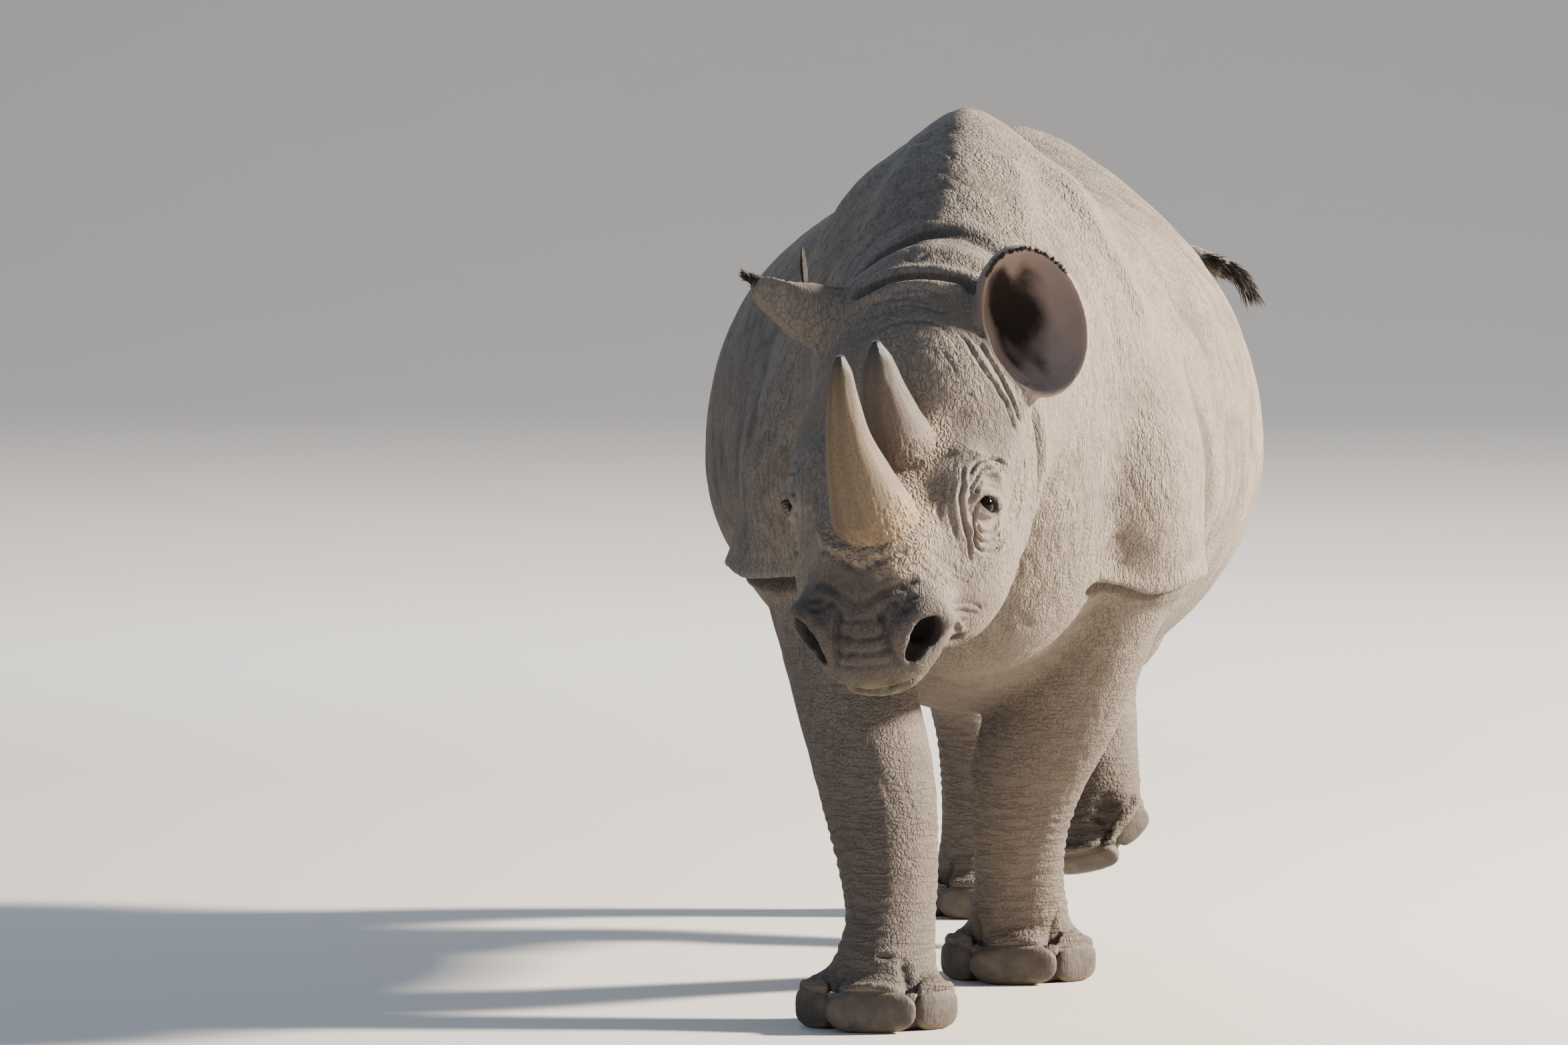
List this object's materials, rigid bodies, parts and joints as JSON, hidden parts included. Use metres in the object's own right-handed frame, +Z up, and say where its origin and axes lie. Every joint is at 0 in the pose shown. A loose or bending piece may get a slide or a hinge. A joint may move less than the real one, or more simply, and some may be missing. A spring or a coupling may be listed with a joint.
{
  "type": "black rhinoceros",
  "caption": "Life-size still model of an adult black rhinoceros walking, with two horns, ears pricked, tail out to one side and one hind foot lifted.",
  "frame": {"origin": "on the floor, under the middle of the animal's box", "axes": "+Z up, the animal faces -Y and its left side is at +X"},
  "size_m": [1.0242, 2.9081, 1.5872],
  "materials": {
    "hide": "thick wrinkled grey-brown hide, matt, dusted paler on top and darker on the lower legs and muzzle",
    "horn": "fibrous horn, ochre with brown streaks, flaky at the base and polished dark at the tip",
    "nail": "worn horn nails, grey with a paler lower edge",
    "eye": "wet dark brown eyeball",
    "hair": "stiff black bristles"
  },
  "bodies": {
    "root": {"head": "hide", "neck": "hide", "trunk": "hide", "tail": "hide", "ear_left": "hide", "ear_right": "hide", "leg_front_right_upper": "hide", "leg_front_right_lower": "hide", "foot_front_right": "hide", "leg_front_left_upper": "hide", "leg_front_left_lower": "hide", "foot_front_left": "hide", "leg_hind_right_upper": "hide", "leg_hind_right_lower": "hide", "foot_hind_right": "hide", "leg_hind_left_lower": "hide", "foot_hind_left": "hide", "horn_front": "horn", "horn_rear": "horn", "nail_front_right_inner": "nail", "nail_front_right_middle": "nail", "nail_front_right_outer": "nail", "nail_front_left_inner": "nail", "nail_front_left_middle": "nail", "nail_front_left_outer": "nail", "nail_hind_right_inner": "nail", "nail_hind_right_middle": "nail", "nail_hind_right_outer": "nail", "nail_hind_left_inner": "nail", "nail_hind_left_middle": "nail", "nail_hind_left_outer": "nail", "eye_left": "eye", "eye_right": "eye", "tail_tuft": "hair"}
  },
  "joints": []
}
